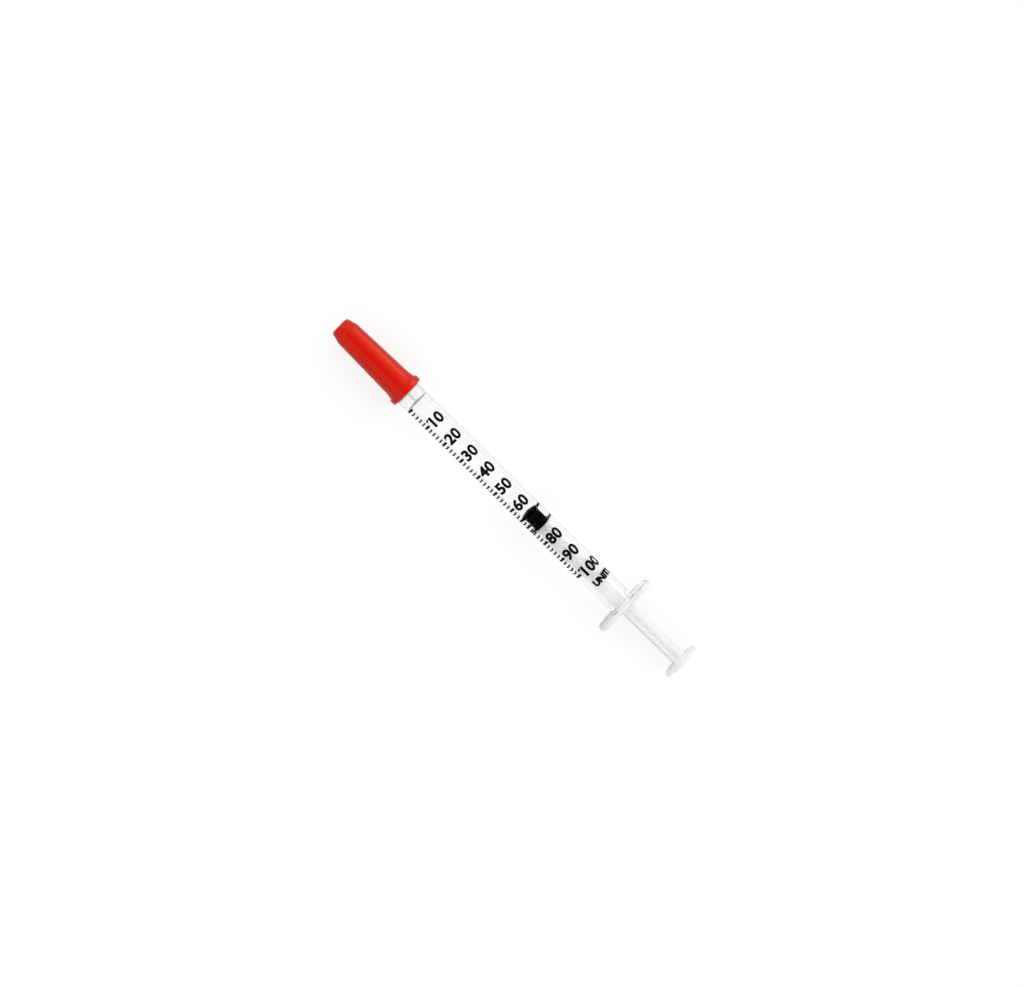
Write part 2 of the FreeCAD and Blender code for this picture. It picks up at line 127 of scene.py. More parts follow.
@dataclass
class Workbench:
    """The hand tools that every piece is modelled with, round the common axis."""

    axis: Axis

    def clear(self) -> None:
        """Leave edit mode and deselect everything."""
        if bpy.context.mode != "OBJECT":
            bpy.ops.object.mode_set(mode="OBJECT")
        bpy.ops.object.select_all(action="DESELECT")

    def take(self, piece: bpy.types.Object) -> None:
        """Make a piece the only selected and the active one.

        Args:
            piece: the piece to work on.
        """
        self.clear()
        piece.select_set(True)
        bpy.context.view_layer.objects.active = piece

    def edit(self, pick: str = "SELECT", mode: str = "FACE") -> None:
        """Go into edit mode on the active piece.

        Args:
            pick: SELECT or DESELECT everything at the start.
            mode: VERT, EDGE or FACE.
        """
        bpy.ops.object.mode_set(mode="EDIT")
        bpy.ops.mesh.select_mode(type=mode)
        bpy.ops.mesh.select_all(action=pick)

    def settle(self) -> None:
        """Leave edit mode and write the active piece's place into its mesh."""
        if bpy.context.mode != "OBJECT":
            bpy.ops.object.mode_set(mode="OBJECT")
        bpy.ops.object.transform_apply(location=True, rotation=True, scale=True)

    def named(self, name: str) -> bpy.types.Object:
        """Name the active piece and its mesh.

        Args:
            name: the piece's name.

        Returns:
            bpy.types.Object: the piece.
        """
        piece = bpy.context.view_layer.objects.active
        piece.name = name
        piece.data.name = name
        return piece

    def turn(self, name: str, corners: list[Corner]) -> bpy.types.Object:
        """Turn an outline about the common axis, as on a lathe.

        An outline that starts on the axis also ends on it; any other closes on itself.

        Args:
            name: the piece's name.
            corners: (x, r) or, rounded, (x, r, radius), in order round the outline.

        Returns:
            bpy.types.Object: the closed solid.
        """
        points = rounded(corners)
        first_x, first_r = points[0]
        if first_r > 0:
            points.append(points[0])
        self.clear()
        bpy.ops.mesh.primitive_plane_add(size=MM, location=(0, 0, 0))
        self.edit(mode="VERT")
        bpy.ops.mesh.merge(type="CENTER")
        bpy.ops.transform.translate(value=(first_x, 0, self.axis.height + first_r))
        for (x_from, r_from), (x_to, r_to) in zip(points, points[1:]):
            step = (x_to - x_from, 0, r_to - r_from)
            bpy.ops.mesh.extrude_region_move(TRANSFORM_OT_translate={"value": step})
        bpy.ops.mesh.select_all(action="SELECT")
        bpy.ops.mesh.spin(steps=SEGMENTS, angle=FULL_TURN, center=(0, 0, self.axis.height),
                          axis=(1, 0, 0))
        bpy.ops.mesh.select_all(action="SELECT")
        bpy.ops.mesh.remove_doubles(threshold=MERGE_BELOW)
        bpy.ops.mesh.normals_make_consistent(inside=False)
        self.sort()
        self.settle()
        return self.named(name)

    def sort(self) -> None:
        """Put the edited mesh's parts in one order, so that each run gives the same mesh.

        The order is counted from the cursor, which then goes back to where pieces are added.
        """
        cursor = bpy.context.scene.cursor
        cursor.location = SORT_FROM
        bpy.ops.mesh.sort_elements(type="CURSOR_DISTANCE", elements={"VERT", "EDGE", "FACE"})
        cursor.location = (0, 0, 0)

    def block(self, name: str, centre: Triple, size: Triple) -> bpy.types.Object:
        """Add a block as the start of a piece.

        Args:
            name: the piece's name.
            centre: its middle, in metres.
            size: its length along X, Y and Z, in metres.

        Returns:
            bpy.types.Object: the block, with its place in its mesh.
        """
        self.clear()
        bpy.ops.mesh.primitive_cube_add(size=1, location=centre, scale=size)
        self.settle()
        return self.named(name)

    def copy(self, piece: bpy.types.Object) -> bpy.types.Object:
        """Copy a piece, with a mesh of its own.

        Args:
            piece: the piece.

        Returns:
            bpy.types.Object: the copy.
        """
        self.take(piece)
        bpy.ops.object.duplicate(linked=False)
        return bpy.context.view_layer.objects.active

    def roll(self, piece: bpy.types.Object, angle: float) -> None:
        """Turn a piece about the common axis.

        Args:
            piece: the piece.
            angle: how far, in radians.
        """
        self.take(piece)
        self.edit()
        bpy.ops.transform.rotate(value=-angle, orient_axis="X",
                                 center_override=(0, 0, self.axis.height))
        self.settle()

    def pick_faces(self, piece: bpy.types.Object,
                   wanted: Callable[[bpy.types.MeshPolygon], bool]) -> None:
        """Go into edit mode on a piece, with the faces selected that pass a test.

        Args:
            piece: the piece.
            wanted: the test of a face.
        """
        self.take(piece)
        self.edit(pick="DESELECT")
        bpy.ops.object.mode_set(mode="OBJECT")
        for face in piece.data.polygons:
            face.select = wanted(face)
        bpy.ops.object.mode_set(mode="EDIT")

    def bevel_where(self, piece: bpy.types.Object, wanted: Callable[[Vector, Vector], bool],
                    width: float, steps: int) -> None:
        """Round the edges of a piece that pass a test.

        Args:
            piece: the piece.
            wanted: a test of an edge's two ends.
            width: the radius, in metres.
            steps: the number of segments.
        """
        self.take(piece)
        self.edit(pick="DESELECT", mode="EDGE")
        bpy.ops.object.mode_set(mode="OBJECT")
        mesh = piece.data
        for edge in mesh.edges:
            ends = [mesh.vertices[index].co for index in edge.vertices]
            edge.select = wanted(*ends)
        bpy.ops.object.mode_set(mode="EDIT")
        bpy.ops.mesh.bevel(offset=width, segments=steps, affect="EDGES")
        self.settle()

    def combine(self, piece: bpy.types.Object, other: bpy.types.Object, role: Role) -> None:
        """Join another solid to a piece or cut it out, and delete it.

        Args:
            piece: the piece that stays.
            other: the solid that goes into it.
            role: whether it joins or cuts.
        """
        self.take(piece)
        bpy.ops.object.modifier_add(type="BOOLEAN")
        modifier = piece.modifiers[-1]
        modifier.operation = role.value
        modifier.solver = "EXACT"
        modifier.object = other
        bpy.ops.object.modifier_apply(modifier=modifier.name)
        self.take(other)
        bpy.ops.object.delete()
        self.take(piece)

    def smooth(self, piece: bpy.types.Object) -> None:
        """Shade a piece smooth, with its real edges kept sharp."""
        self.take(piece)
        bpy.ops.object.shade_smooth_by_angle(angle=SMOOTH_BELOW)

    def wrap(self, piece: bpy.types.Object, along: float, radius: float, slices: int) -> None:
        """Bend a flat piece that stands in the XZ plane and lay it round the common axis.

        Its X then runs round the barrel, counted from the top, and its Z along it.

        Args:
            piece: the flat piece.
            along: where its Z zero goes along the axis.
            radius: the radius that its plane is bent to.
            slices: how many parts it is cut into, so that it bends.
        """
        self.take(piece)
        low = min(vertex.co.x for vertex in piece.data.vertices)
        high = max(vertex.co.x for vertex in piece.data.vertices)
        for number in range(1, slices):
            self.edit()
            at = low + (high - low) * number / slices
            bpy.ops.mesh.bisect(plane_co=(at, 0, 0), plane_no=(1, 0, 0))
            bpy.ops.object.mode_set(mode="OBJECT")
        bpy.ops.object.modifier_add(type="SIMPLE_DEFORM")
        modifier = piece.modifiers[-1]
        modifier.deform_method = "BEND"
        modifier.deform_axis = "Z"
        modifier.angle = (high - low) / radius
        bpy.ops.object.modifier_apply(modifier=modifier.name)
        stand = Matrix.Rotation(math.pi / 2, 4, "Z") @ Matrix.Rotation(-math.pi / 2, 4, "X")
        place = Matrix.Translation((along, 0, self.axis.height + radius))
        piece.matrix_world = place @ stand
        self.settle()


def lengthwise(first: Vector, second: Vector) -> bool:
    """Whether an edge between two points runs along the syringe."""
    return abs(first.y - second.y) < SAME_PLACE and abs(first.z - second.z) < SAME_PLACE


def rounded(corners: list[Corner]) -> list[Point]:
    """Work out an outline's points, with its rounded corners as arcs.

    Args:
        corners: (x, r) or, rounded, (x, r, radius), in order round a closed outline.

    Returns:
        list[Point]: the points of the outline.
    """
    points = []
    for index, corner in enumerate(corners):
        here = Vector(corner[:2])
        if len(corner) == 2:
            points.append(tuple(here))
            continue
        before = (Vector(corners[index - 1][:2]) - here).normalized()
        after = (Vector(corners[(index + 1) % len(corners)][:2]) - here).normalized()
        half = before.angle(after) / 2
        middle = here + (before + after).normalized() * (corner[2] / math.sin(half))
        start = here + before * (corner[2] / math.tan(half)) - middle
        end = here + after * (corner[2] / math.tan(half)) - middle
        sweep = start.angle_signed(end)
        count = max(2, math.ceil(abs(sweep) / ARC_STEP))
        for number in range(count + 1):
            spoke = start.copy()
            spoke.rotate(Matrix.Rotation(-sweep * number / count, 2))
            points.append(tuple(middle + spoke))
    return points


# Materials


@dataclass(frozen=True)
class Signal:
    """A number that varies over a surface, carried by an output socket."""

    bench: NodeBench
    socket: bpy.types.NodeSocket

    def _math(self, operation: str, first: Signal | float, second: Signal | float) -> Signal:
        """Add one Math node."""
        made = self.bench.node("ShaderNodeMath", {"operation": operation},
                               {0: first, 1: second})
        return Signal(self.bench, made.outputs[0])

    def __pow__(self, other: float) -> Signal:
        """The signal raised to a power."""
        return self._math("POWER", self, other)

    def __rpow__(self, other: float) -> Signal:
        """A plain number raised to the signal."""
        return self._math("POWER", other, self)

    def __add__(self, other: Signal | float) -> Signal:
        """Sum of two signals."""
        return self._math("ADD", self, other)

    def __sub__(self, other: Signal | float) -> Signal:
        """Difference of two signals."""
        return self._math("SUBTRACT", self, other)

    def __rsub__(self, other: float) -> Signal:
        """Difference from a plain number."""
        return self._math("SUBTRACT", other, self)

    def __mul__(self, other: Signal | float) -> Signal:
        """Product of two signals."""
        return self._math("MULTIPLY", self, other)

    __radd__ = __add__
    __rmul__ = __mul__

    def or_greater(self, other: Signal) -> Signal:
        """The greater of two signals."""
        return self._math("MAXIMUM", self, other)


@dataclass
class NodeBench:
    """Makes the nodes of one tree."""

    tree: bpy.types.NodeTree

    def node(self, kind: str, settings: dict | None = None,
             sockets: dict | None = None) -> bpy.types.Node:
        """Make a node.

        Args:
            kind: the node's type.
            settings: its settings, or a ramp's stops, which are set first.
            sockets: values or links by socket name or number.

        Returns:
            bpy.types.Node: the node.
        """
        made = self.tree.nodes.new(kind)
        for name, value in (settings or {}).items():
            if name == "stops":
                for element, (place, colour) in zip(made.color_ramp.elements, value):
                    element.position = place
                    element.color = (*colour, 1)
            else:
                setattr(made, name, value)
        for name, value in (sockets or {}).items():
            if isinstance(value, Signal):
                value = value.socket
            if isinstance(value, bpy.types.NodeSocket):
                self.tree.links.new(value, made.inputs[name])
            else:
                made.inputs[name].default_value = value
        return made

    def noise(self, scale: float, stretch: Triple, detail: float = 3) -> Signal:
        """Noise in the piece's own coordinates.

        Args:
            scale: lumps per metre.
            stretch: how much finer it is along each axis.
            detail: octaves.

        Returns:
            Signal: noise from 0 to 1.
        """
        where = self.node("ShaderNodeTexCoord")
        mapped = self.node("ShaderNodeMapping", None,
                           {"Vector": where.outputs["Object"], "Scale": stretch})
        made = self.node("ShaderNodeTexNoise", None,
                         {"Vector": mapped.outputs[0], "Scale": scale, "Detail": detail})
        return Signal(self, made.outputs["Fac"])

    def blend(self, factor: Signal, first: bpy.types.NodeSocket | Colour,
              second: Colour) -> bpy.types.NodeSocket:
        """Mix two colours.

        Args:
            factor: share of the second colour.
            first: the first colour, or a socket that carries it.
            second: the second colour.

        Returns:
            bpy.types.NodeSocket: the mixed colour.
        """
        start = first if isinstance(first, bpy.types.NodeSocket) else (*first, 1)
        # Sockets 0, 6 and 7 of a Mix node are its factor and its two colours
        made = self.node("ShaderNodeMix", {"data_type": "RGBA"},
                         {0: factor, 6: start, 7: (*second, 1)})
        return made.outputs[2]

    def glancing(self) -> Signal:
        """Signal that rises from 0 where a surface is seen square on to 1 at its outline."""
        made = self.node("ShaderNodeLayerWeight", None, {"Blend": 0.5})
        return Signal(self, made.outputs["Facing"])


@dataclass(frozen=True)
class Finish:
    """One material: its colours, its painted outline shade, its gloss, its grain and the
    shader's constant sockets.
    """

    name: str
    colour: Colour
    second_colour: Colour
    roughness: float
    roughness_swing: float
    grain: float
    stretch: Triple
    bump: float
    bump_height: float = 0.01 * MM
    rim_colour: Colour | None = None
    rim_power: float = 2.5
    fineness: float = 6
    fine_detail: float = 5
    constants: dict[str, float | tuple] = field(default_factory=dict)

    def make(self) -> bpy.types.Material:
        """Build the material.

        Returns:
            bpy.types.Material: the material.
        """
        material = bpy.data.materials.new(self.name)
        material.use_nodes = True
        bench = NodeBench(material.node_tree)
        material.node_tree.nodes.clear()
        cloud = bench.noise(self.grain, self.stretch)
        fine = bench.noise(self.grain * self.fineness, self.stretch, detail=self.fine_detail)
        bump = bench.node("ShaderNodeBump", None, {
            "Strength": self.bump, "Distance": self.bump_height, "Height": fine})
        colour = bench.blend(cloud, self.colour, self.second_colour)
        # Painted shade: where the surface turns away from view, the base colour darkens towards
        # the outline shade colour. This draws dark outlines and shaded edges.
        if self.rim_colour:
            colour = bench.blend(bench.glancing() ** self.rim_power, colour, self.rim_colour)
        sockets = {
            "Base Color": colour,
            "Roughness": (fine - NOISE_MIDDLE) * self.roughness_swing + self.roughness,
            "Normal": bump.outputs[0],
            **self.constants,
        }
        shader = bench.node("ShaderNodeBsdfPrincipled", None, sockets)
        bench.node("ShaderNodeOutputMaterial", None, {"Surface": shader.outputs[0]})
        return material


# Its outline shade colour paints grey shade along the clear barrel's outlines.
CLEAR = Finish(
    name="clear_finish", colour=(0.97, 0.972, 0.975), second_colour=(0.955, 0.958, 0.962),
    roughness=0.02, roughness_swing=0.02, grain=260, stretch=(0.25, 1, 1), bump=0.05,
    bump_height=0.0006 * MM, rim_colour=(0.6, 0.61, 0.62),
    constants={"Transmission Weight": 1.0, "IOR": 1.45,
               "Specular Tint": (0.015, 0.015, 0.015, 1)})
# Its outline shade colour paints grey shade along the outlines of the nose and the flange.
FROSTED = Finish(
    name="frosted_finish", colour=(1.0, 1.0, 1.0), second_colour=(0.985, 0.988, 0.99),
    roughness=0.4, roughness_swing=0.1, grain=900, stretch=(1, 1, 1), bump=0.1,
    bump_height=0.001 * MM, rim_colour=(0.45, 0.46, 0.47), rim_power=4,
    constants={"Transmission Weight": 0.3, "IOR": 1.45, "Specular Tint": (0.8, 0.8, 0.8, 1)})
# Its outline shade colour paints grey shade where the surface turns edge-on, mostly round the
# thumb press.
MILKY = Finish(
    name="milky_finish", colour=(0.95, 0.952, 0.955), second_colour=(0.935, 0.938, 0.942),
    roughness=0.4, roughness_swing=0.08, grain=300, stretch=(0.3, 1, 1), bump=0.08,
    bump_height=0.002 * MM, rim_colour=(0.5, 0.505, 0.51), rim_power=9,
    constants={"Subsurface Weight": 1.0, "Subsurface Radius": (1, 1, 1),
               "Subsurface Scale": 4 * MM, "IOR": 1.49, "Specular IOR Level": 0.2})
# A darker copy of the milky finish: painted shade on the thin edges of the shaft's ribs.
MILKY_PAINTED_SHADE = replace(MILKY, name="milky_painted_shade_finish", colour=(0.81, 0.813, 0.817),
                     second_colour=(0.79, 0.793, 0.798))
# Its outline shade colour paints dark red shade along the shield's edges.
SHIELD = Finish(
    name="orange_red_finish", colour=(0.7, 0.0012, 0.0016), second_colour=(0.64, 0.001, 0.0014),
    roughness=0.34, roughness_swing=0.06, grain=220, stretch=(0.4, 1, 1), bump=0.1,
    rim_colour=(0.12, 0.003, 0.003), rim_power=2,
    constants={"IOR": 1.49, "Specular IOR Level": 0.32, "Specular Tint": (0.9, 0.8, 0.35, 1)})
RUBBER = Finish(
    name="rubber_finish", colour=(0.0007, 0.0007, 0.0009),
    second_colour=(0.0018, 0.0018, 0.0021), roughness=0.5, roughness_swing=0.1, grain=500,
    stretch=(1, 1, 1), bump=0.12, constants={"IOR": 1.5, "Specular IOR Level": 0.012})
STEEL = Finish(
    name="steel_finish", colour=(0.62, 0.63, 0.65), second_colour=(0.5, 0.51, 0.53),
    roughness=0.25, roughness_swing=0.15, grain=900, stretch=(0.1, 1, 1), bump=0.1,
    constants={"Metallic": 1.0})
ADHESIVE = Finish(
    name="adhesive_finish", colour=(0.93, 0.9, 0.8), second_colour=(0.9, 0.86, 0.72),
    roughness=0.12, roughness_swing=0.04, grain=600, stretch=(1, 1, 1), bump=0.1,
    constants={"Transmission Weight": 0.7, "IOR": 1.5})
INK = Finish(
    name="ink_finish", colour=(0.0012, 0.0012, 0.0016), second_colour=(0.004, 0.004, 0.0045),
    roughness=0.55, roughness_swing=0.15, grain=1500, stretch=(1, 1, 1), bump=0.1,
    constants={"IOR": 1.45, "Specular IOR Level": 0.03})


def dress(piece: bpy.types.Object, finish: Finish,
          where: Callable[[Vector], bool] | None = None) -> None:
    """Give a piece one finish all over, or a second finish on some of its faces.

    Args:
        piece: the piece.
        finish: the finish.
        where: test of a face's middle point that picks the faces of a second finish.
    """
    material = bpy.data.materials.get(finish.name) or finish.make()
    if where is None:
        piece.data.materials.clear()
    piece.data.materials.append(material)
    for face in piece.data.polygons:
        if where is None or where(face.center):
            face.material_index = len(piece.data.materials) - 1


# The syringe's pieces


@dataclass
class Barrel:
    """Clear barrel: tube, ribbed nose and finger flange in one moulding."""

    axis: Axis
    bench: Workbench
    bore: float = 2.35 * MM
    wall: float = 0.95 * MM
    hub_length: float = 4.85 * MM
    hub_tip: float = 1.6 * MM
    hub_base: float = 2.05 * MM
    hub_round: float = 0.25 * MM
    spigot: float = 2.9 * MM
    spigot_length: float = 2.4 * MM
    spigot_round: float = 0.08 * MM
    front_wall: float = 2.8 * MM
    floor_dish: float = 0.4 * MM
    floor_round: float = 0.15 * MM
    shoulder_round: float = 0.35 * MM
    channel: float = 0.25 * MM
    channel_round: float = 0.1 * MM
    needle: float = 0.165 * MM
    needle_hold: float = 5.0 * MM
    well_mouth: float = 0.85 * MM
    well_floor: float = 0.55 * MM
    well_depth: float = 3.2 * MM
    lead: float = 0.4 * MM
    lead_round: float = 0.3 * MM
    mouth_round: float = 0.06 * MM
    bead: float = 0.08 * MM
    bead_width: float = 0.8 * MM
    bead_setback: float = 3.0 * MM
    bead_round: float = 0.8 * MM
    bead_foot_round: float = 0.4 * MM
    rib_count: int = 6
    rib_height: float = 0.28 * MM
    rib_width: float = 0.5 * MM
    rib_setback: float = 0.6 * MM
    rib_foot_share: float = 0.7
    rib_crest_share: float = 0.7
    flange_wing: float = 5.0 * MM
    flange_ledge: float = 0.9 * MM
    flange_thick: float = 1.3 * MM
    flange_corner: float = 3.3 * MM
    flange_corner_steps: int = 14
    flange_round: float = 0.42 * MM
    flange_round_steps: int = 5
    flange_root: float = 0.35 * MM
    flange_bury: float = 0.2 * MM

    @property
    def outside(self) -> float:
        """Radius of the tube's outside."""
        return self.bore + self.wall

    def tube(self) -> bpy.types.Object:
        """Turn the tube, its nose and its bore.

        Returns:
            bpy.types.Object: the tube.
        """
        tip, end = self.axis.nose_tip, self.axis.open_end
        hub_end = tip + self.hub_length
        shoulder = hub_end + self.spigot_length
        floor = shoulder + self.front_wall
        bead_at = end - self.bead_setback
        flange_front = end - self.flange_thick
        outside = self.outside
        return self.bench.turn("barrel_clear", [
            (tip, self.well_mouth),
            (tip, self.hub_tip, self.hub_round),
            (hub_end, self.hub_base, self.hub_round),
            (hub_end, self.spigot, self.hub_round),
            (shoulder, self.spigot, self.spigot_round),
            (shoulder, outside, self.shoulder_round),
            (flange_front - self.flange_root, outside),
            (flange_front + self.flange_bury / 2, outside + self.flange_root),
            (flange_front + self.flange_bury, outside),
            (end, outside),
            (end, self.bore + self.lead, self.mouth_round),
            (end - self.lead, self.bore, self.lead_round),
            (bead_at + self.bead_width / 2, self.bore, self.bead_foot_round),
            (bead_at, self.bore - self.bead, self.bead_round),
            (bead_at - self.bead_width / 2, self.bore, self.bead_foot_round),
            (floor + self.floor_dish, self.bore, self.floor_round),
            (floor, self.channel, self.channel_round),
            (tip + self.needle_hold, self.channel),
            (tip + self.needle_hold, self.needle),
            (tip + self.well_depth, self.needle),
            (tip + self.well_depth, self.well_floor),
        ])

    def flange(self) -> bpy.types.Object:
        """Model the finger flange as a rounded plate with the tube's hole in it.

        Returns:
            bpy.types.Object: the plate.
        """
        end = self.axis.open_end
        front = end - self.flange_thick
        half_span = self.outside + self.flange_wing
        half_depth = self.outside + self.flange_ledge
        plate = self.bench.block("flange", ((front + end) / 2, 0, self.axis.height),
                                 (self.flange_thick, 2 * half_span, 2 * half_depth))
        self.bench.bevel_where(plate, lengthwise, self.flange_corner, self.flange_corner_steps)
        self.bench.bevel_where(plate, lambda a, b: abs(a.x - b.x) < SAME_PLACE,
                               self.flange_round, self.flange_round_steps)
        middle = (self.bore + self.outside) / 2
        hole = self.bench.turn("flange_hole", [
            (front - MM, 0), (front - MM, middle), (end + MM, middle), (end + MM, 0)])
        self.bench.combine(plate, hole, Role.CUT)
        return plate

    def grip_rib(self) -> bpy.types.Object:
        """Model the hub's topmost grip rib.

        Returns:
            bpy.types.Object: the rib.
        """
        foot = self.hub_tip * self.rib_foot_share
        start = self.axis.nose_tip + self.rib_setback
        end = self.axis.nose_tip + self.hub_length + self.spigot_length / 2
        rib = self.bench.block(
            "grip_rib", ((start + end) / 2, 0, self.axis.height + (foot + self.hub_tip) / 2),
            (end - start, self.rib_width, self.hub_tip - foot))
        self.bench.pick_faces(rib, lambda face: face.normal.z > SQUARE_ON)
        bpy.ops.mesh.extrude_region_move(
            TRANSFORM_OT_translate={"value": (0, 0, self.rib_height)})
        bpy.ops.transform.resize(value=(1, self.rib_crest_share, 1))
        bpy.ops.object.mode_set(mode="OBJECT")
        crest = self.axis.height + self.hub_tip - SAME_PLACE
        for vertex in rib.data.vertices:
            vertex.select = vertex.co.x > end - SAME_PLACE and vertex.co.z > crest
        bpy.ops.object.mode_set(mode="EDIT")
        bpy.ops.mesh.select_mode(type="VERT")
        bpy.ops.transform.translate(value=(0, 0, self.hub_base - self.hub_tip))
        self.bench.settle()
        return rib

    def frosted(self, point: Vector) -> bool:
        """Whether a point of the surface is on the nose, in the bore's floor or on the flange.

        Args:
            point: the point.

        Returns:
            bool: True where the mould's surface is matt.
        """
        floor = (self.axis.nose_tip + self.hub_length + self.spigot_length + self.front_wall
                 + self.floor_dish)
        flange = self.axis.open_end - self.flange_thick - self.flange_root
        outer = self.axis.away(point) > self.bore + self.lead
        return point.x < floor or (point.x > flange and outer)

    def build(self) -> bpy.types.Object:
        """Model and dress the barrel.

        Returns:
            bpy.types.Object: the barrel.
        """
        barrel = self.tube()
        self.bench.combine(barrel, self.flange(), Role.JOIN)
        ribs = [self.grip_rib()]
        for number in range(1, self.rib_count):
            ribs.append(self.bench.copy(ribs[0]))
            self.bench.roll(ribs[-1], FULL_TURN * number / self.rib_count)
        for rib in ribs:
            self.bench.combine(barrel, rib, Role.JOIN)
        self.bench.smooth(barrel)
        dress(barrel, CLEAR)
        dress(barrel, FROSTED, self.frosted)
        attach(barrel, "barrel")
        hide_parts("barrel")
        return barrel


@dataclass
class PrintedScale:
    """Black print round the barrel: numbers, lines and the word for the units."""

    axis: Axis
    bench: Workbench
    radius: float = 3.303 * MM
    ink: float = 0.012 * MM
    zero: float = 10.85 * MM
    length: float = 57.64 * MM
    numbers: int = 10
    lines_between: int = 4
    number_height: float = 2.85 * MM
    number_shift: float = -0.2 * MM
    number_left: float = -1.87 * MM
    number_bold: float = 0.056
    number_spread: float = 1.04
    flag_left: float = -1.75 * MM
    flag_drop: float = 0.42 * MM
    flag_long: float = 0.85 * MM
    flag_thick: float = 0.5 * MM
    flag_slope: float = math.radians(40)
    word_height: float = 1.65 * MM
    word_left: float = -1.62 * MM
    word_gap: float = 3.95 * MM
    word_bold: float = 0.1
    word_spread: float = 1.02
    capital_share: float = 0.729
    major_from: float = -2.2 * MM
    major_to: float = -5.12 * MM
    major_thick: float = 0.6 * MM
    minor_from: float = -2.7 * MM
    minor_to: float = -5.1 * MM
    minor_thick: float = 0.4 * MM
    letter_curve_steps: int = 6
    letter_edge_steps: int = 2
    word_slices: int = 24
    line_slices: int = 10
    flag_slices: int = 6

    def place(self, share: float) -> float:
        """Where a reading, as a share of the full scale, is on the axis."""
        return self.axis.nose_tip + self.zero + self.length * share

    def words(self, name: str, text: str, height: float, left: float,
              along: float, bold: float, spread: float) -> bpy.types.Object:
        """Print a word or a number on the barrel.

        Args:
            name: the piece's name.
            text: what it says.
            height: height of its capitals.
            left: where it starts, as a length of arc from the top of the barrel.
            along: x of its middle line.
            bold: how much heavier than the plain letters it is, as a share of the height.
            spread: how far apart its letters stand, as a share of the plain distance.

        Returns:
            bpy.types.Object: the print as a mesh.
        """
        self.bench.clear()
        bpy.ops.object.text_add(rotation=(math.pi / 2, 0, 0))
        curve = bpy.context.object.data
        curve.body = text
        curve.size = height / self.capital_share
        curve.space_character = spread
        curve.bevel_depth = bold * height
        curve.bevel_resolution = self.letter_edge_steps
        curve.resolution_u = self.letter_curve_steps
        bpy.ops.object.convert(target="MESH")
        bpy.context.object.scale = (1, 1, self.ink / (2 * bold * height))
        self.bench.settle()
        piece = self.bench.named(name)
        self.bench.edit()
        bpy.ops.mesh.remove_doubles(threshold=MERGE_BELOW)
        bpy.ops.transform.translate(value=(left, -self.ink / 2, -height / 2))
        bpy.ops.object.mode_set(mode="OBJECT")
        self.bench.wrap(piece, along, self.radius, self.word_slices)
        return piece

    def flag(self, along: float) -> bpy.types.Object:
        """Print the flag at the top of a figure one.

        Args:
            along: x of the number's middle line.

        Returns:
            bpy.types.Object: the flag as a mesh.
        """
        high = self.number_height / 2 - self.flag_drop
        piece = self.bench.block("flag", (self.flag_left, -self.ink / 2, high),
                                 (self.flag_long, self.ink, self.flag_thick))
        self.bench.take(piece)
        self.bench.edit()
        bpy.ops.transform.rotate(value=self.flag_slope, orient_axis="Y",
                                 center_override=(self.flag_left, 0, high))
        bpy.ops.object.mode_set(mode="OBJECT")
        self.bench.wrap(piece, along, self.radius, self.flag_slices)
        return piece

    def line(self, weight: Weight) -> bpy.types.Object:
        """Print the scale's first line of one weight.

        Args:
            weight: which kind of line it is.

        Returns:
            bpy.types.Object: the line as a mesh.
        """
        start, end, thick = {
            Weight.MAJOR: (self.major_from, self.major_to, self.major_thick),
            Weight.MINOR: (self.minor_from, self.minor_to, self.minor_thick),
        }[weight]
        piece = self.bench.block(weight.value, ((start + end) / 2, -self.ink / 2, 0),
                                 (start - end, self.ink, thick))
        self.bench.wrap(piece, self.place(0), self.radius, self.line_slices)
        return piece

    def lines(self) -> list[bpy.types.Object]:
        """Print all the lines of the scale.

        Returns:
            list[bpy.types.Object]: the lines.
        """
        models = {weight: self.line(weight) for weight in Weight}
        between = self.lines_between + 1
        steps = self.numbers * between
        made = [models[Weight.MAJOR]]
        for step in range(1, steps + 1):
            weight = Weight.MINOR if step % between else Weight.MAJOR
            copy = self.bench.copy(models[weight])
            copy.location.x = self.length * step / steps
            self.bench.settle()
            made.append(copy)
        self.bench.take(models[Weight.MINOR])
        bpy.ops.object.delete()
        return made

    def build(self) -> bpy.types.Object:
        """Print the whole scale as one piece.

        Returns:
            bpy.types.Object: the print.
        """
        prints = self.lines()
        for number in range(1, self.numbers + 1):
            share = number / self.numbers
            prints.append(self.words(
                f"number_{number}", str(round(100 * share)), self.number_height,
                self.number_left, self.place(share) + self.number_shift,
                self.number_bold, self.number_spread))
        for share in (1 / self.numbers, 1):
            prints.append(self.flag(self.place(share) + self.number_shift))
        prints.append(self.words(
            "unit_word", "UNITS", self.word_height, self.word_left,
            self.place(1) + self.word_gap, self.word_bold, self.word_spread))
        self.bench.clear()
        for piece in prints:
            piece.select_set(True)
        bpy.context.view_layer.objects.active = prints[0]
        bpy.ops.object.join()
        scale = self.bench.named("scale_print")
        dress(scale, INK)
        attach(scale, "barrel")
        return scale


